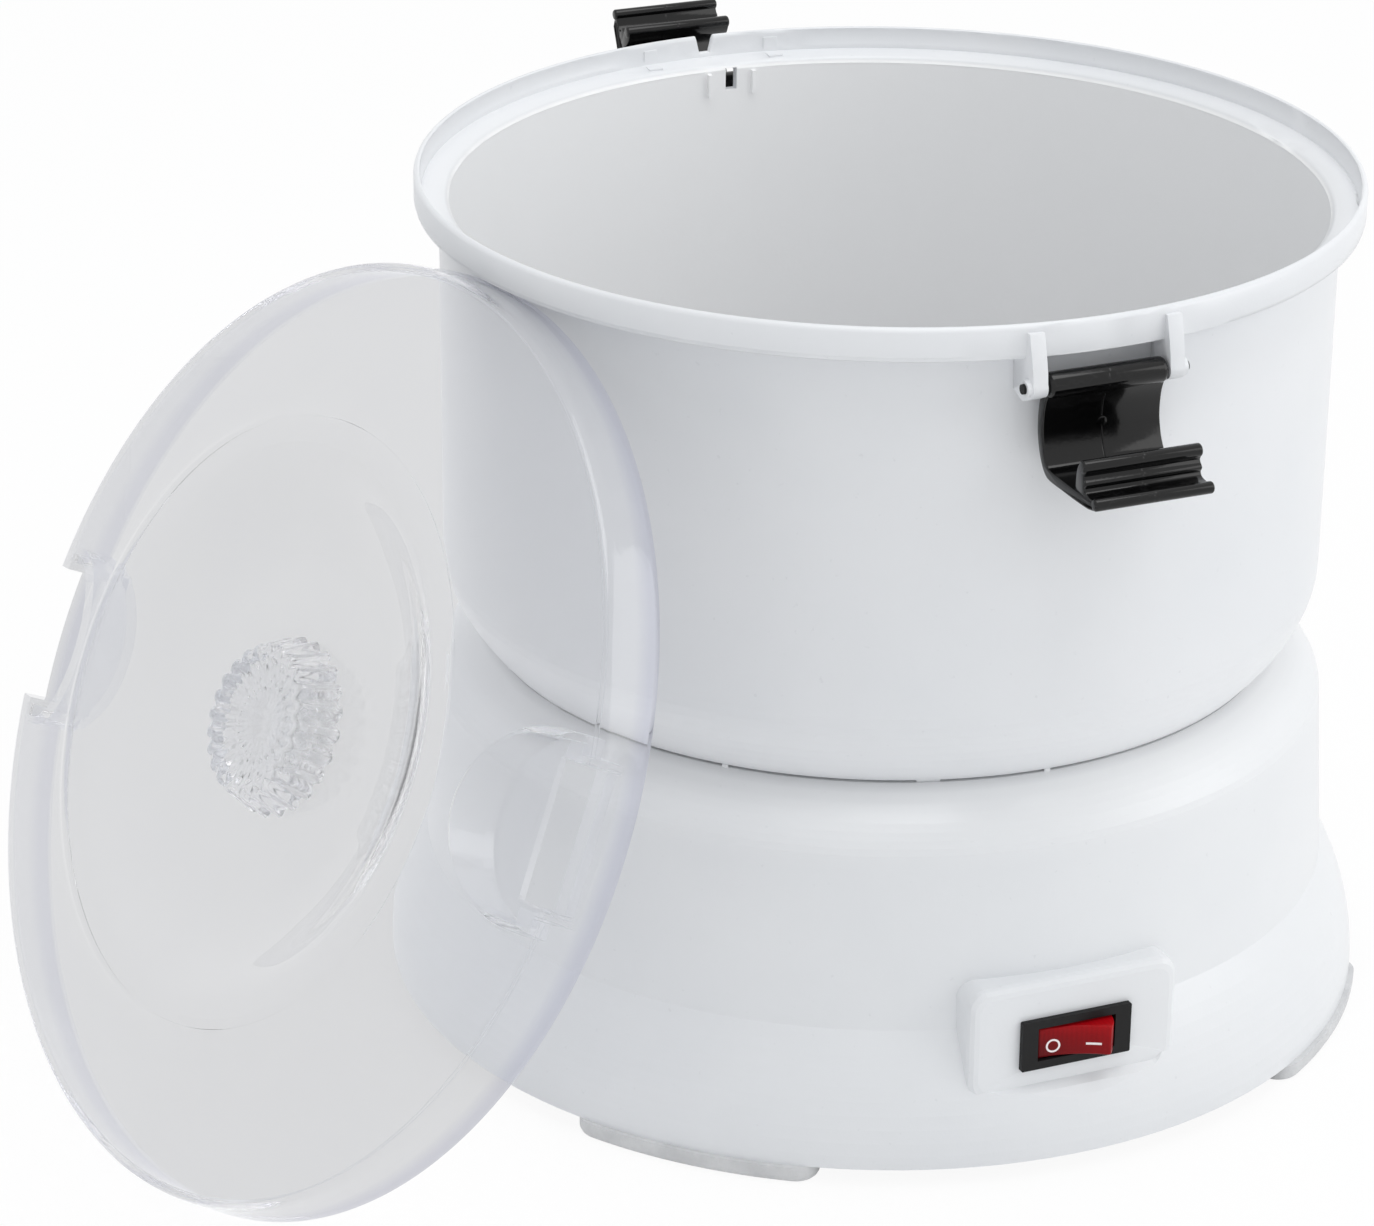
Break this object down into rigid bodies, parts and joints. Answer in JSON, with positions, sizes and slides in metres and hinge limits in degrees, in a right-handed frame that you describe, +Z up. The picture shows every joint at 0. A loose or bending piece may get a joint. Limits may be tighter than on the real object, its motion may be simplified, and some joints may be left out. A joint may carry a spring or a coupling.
{
  "type": "electric potato peeler",
  "caption": "Electric peeler: round motor base with rocker switch, lift-off bowl over a turning abrasive disc, over-rim latches, and a clear lid leaning at the side.",
  "frame": {"origin": "centre of the base's flat underside, on the drive axis; the rubber feet reach 5 mm below it", "axes": "+Z up along the drive axis, front (switch and open latch) towards -Y, lid leaning on the -X side"},
  "size_m": [0.3758, 0.3167, 0.2313],
  "materials": {
    "white_abs": "satin gloss",
    "black_abs": "gloss",
    "switch_black": "satin",
    "switch_red": "translucent gloss",
    "foot_rubber": "matt",
    "seal_rubber": "matt",
    "steel": "brushed",
    "brass": "brass plated",
    "bronze": "sintered",
    "nylon": "moulded",
    "core": "lacquered",
    "abrasive": "grit coated",
    "clear_plastic": "clear gloss"
  },
  "bodies": {
    "base_unit": {"base_housing": "white_abs", "base_plate": "black_abs", "foot_front_left": "foot_rubber", "foot_front_right": "foot_rubber", "foot_rear_left": "foot_rubber", "foot_rear_right": "foot_rubber", "plate_screws": "steel", "switch_housing": "switch_black", "switch_terminals": "brass", "cord_gland": "seal_rubber", "motor_can": "steel", "motor_end_cap": "black_abs", "motor_terminals": "brass", "motor_screws": "steel", "gear_plate": "steel", "gear_pillars": "white_abs", "gear_plate_screws": "steel", "idler_pin": "steel", "lower_bush": "bronze", "upper_bush": "bronze", "shaft_seal": "seal_rubber"},
    "rocker": {"switch_rocker": "switch_red"},
    "rotor": {"motor_shaft": "steel", "motor_core": "core", "motor_pinion": "bronze"},
    "idler": {"idler_gear": "nylon"},
    "drive": {"output_shaft": "steel", "output_gear": "nylon", "drive_dog": "black_abs"},
    "bowl_unit": {"bowl": "white_abs", "bowl_rim": "white_abs", "latch_pin_front": "black_abs", "latch_pin_rear": "black_abs"},
    "disc_unit": {"disc_hub": "black_abs", "abrasive_disc": "abrasive", "disc_cap": "white_abs"},
    "latch_front_arm": {"latch_front": "black_abs"},
    "latch_rear_arm": {"latch_rear": "black_abs"},
    "lid_unit": {"lid": "clear_plastic", "lid_knob": "clear_plastic"}
  },
  "joints": [
    {"name": "rocker_tilt", "type": "hinge", "parent": "base_unit", "child": "rocker", "pos_m": [-0.0019, -0.1271, 0.0315], "axis": [0, 0, 1], "range_deg": [0, 33.7]},
    {"name": "drive_spin", "type": "hinge", "parent": "base_unit", "child": "drive", "pos_m": [0, 0, 0.09], "axis": [0, 0, 1], "continuous": true},
    {"name": "idler_spin", "type": "hinge", "parent": "base_unit", "child": "idler", "pos_m": [0.045, 0, 0.06], "axis": [0, 0, 1], "continuous": true},
    {"name": "rotor_spin", "type": "hinge", "parent": "base_unit", "child": "rotor", "pos_m": [0.0625, 0.03031, 0.03], "axis": [0, 0, 1], "continuous": true},
    {"name": "bowl_lift", "type": "slide", "parent": "base_unit", "child": "bowl_unit", "axis": [0, 0, 1], "range_m": [0, 0.12]},
    {"name": "disc_spin", "type": "hinge", "parent": "bowl_unit", "child": "disc_unit", "pos_m": [0, 0, 0.117], "axis": [0, 0, 1], "continuous": true},
    {"name": "latch_front_swing", "type": "hinge", "parent": "bowl_unit", "child": "latch_front_arm", "pos_m": [0, -0.1253, 0.2105], "axis": [-1, 0, 0], "range_deg": [0, 180]},
    {"name": "latch_rear_swing", "type": "hinge", "parent": "bowl_unit", "child": "latch_rear_arm", "pos_m": [0, 0.1253, 0.2105], "axis": [1, 0, 0], "range_deg": [-62, 118]},
    {"name": "lid_away", "type": "slide", "parent": "base_unit", "child": "lid_unit", "axis": [-0.9763, -0.2164, 0], "range_m": [0, 0.12]}
  ],
  "couplings": [
    {"joint": "drive_spin", "follows": "disc_spin", "ratio": 1},
    {"joint": "idler_spin", "follows": "disc_spin", "ratio": -3.5},
    {"joint": "rotor_spin", "follows": "disc_spin", "ratio": 14}
  ]
}
